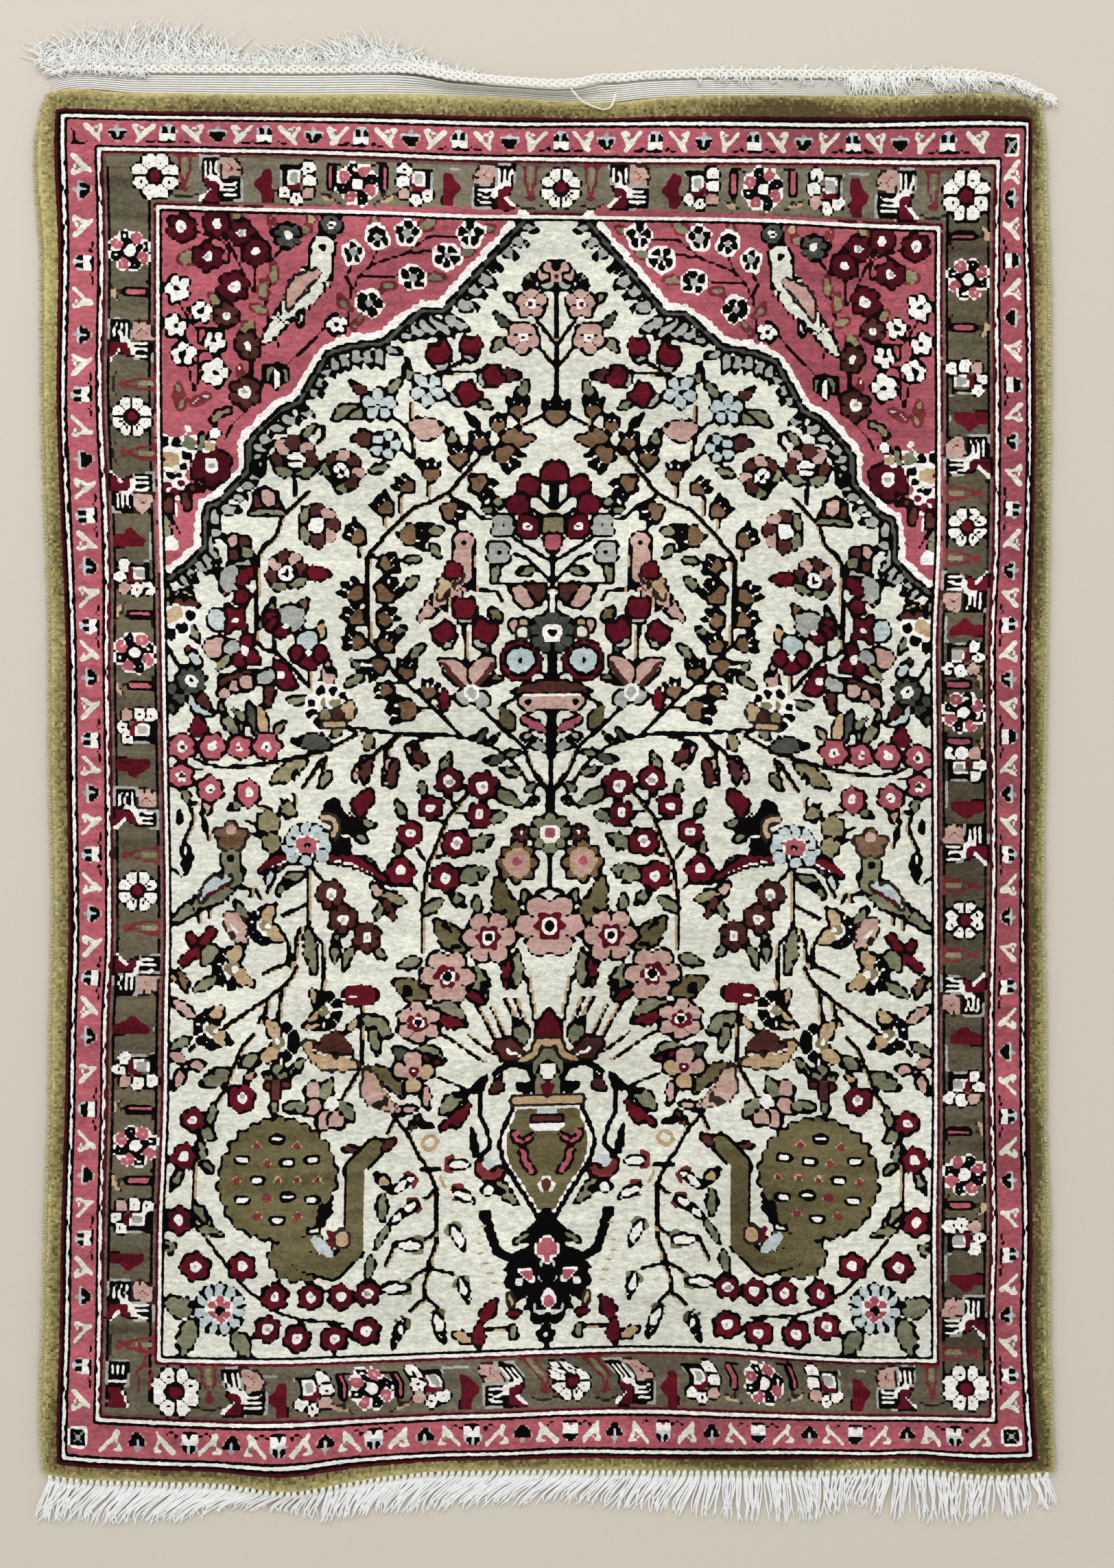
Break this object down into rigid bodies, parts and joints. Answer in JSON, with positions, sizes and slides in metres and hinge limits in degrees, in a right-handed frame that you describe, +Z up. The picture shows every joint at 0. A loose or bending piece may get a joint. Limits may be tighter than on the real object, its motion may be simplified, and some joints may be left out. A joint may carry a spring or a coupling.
{
  "type": "persian rug",
  "caption": "Small hand-knotted silk pile rug lying flat, with a prayer-niche design, a flat-woven plaited end and a looped fringe at the other end.",
  "frame": {"origin": "middle of the rug's bounding box, on the floor under it", "axes": "+X across the width to the right, +Y along the length towards the plaited end and the top of the niche, +Z up out of the pile"},
  "size_m": [0.6338, 0.9272, 0.0114],
  "materials": {
    "silk_pile": "short cut silk pile, soft sheen, many colours",
    "cotton_web": "ribbed flat weave, off-white, matt",
    "cotton_plait": "white yarn in a knotted chain, matt",
    "cotton_fringe": "white twisted yarn, matt"
  },
  "bodies": {
    "root": {"pile_carpet": "silk_pile", "flatweave_end": "cotton_web", "fringe_plaited": "cotton_plait", "fringe_looped": "cotton_fringe"}
  },
  "joints": []
}
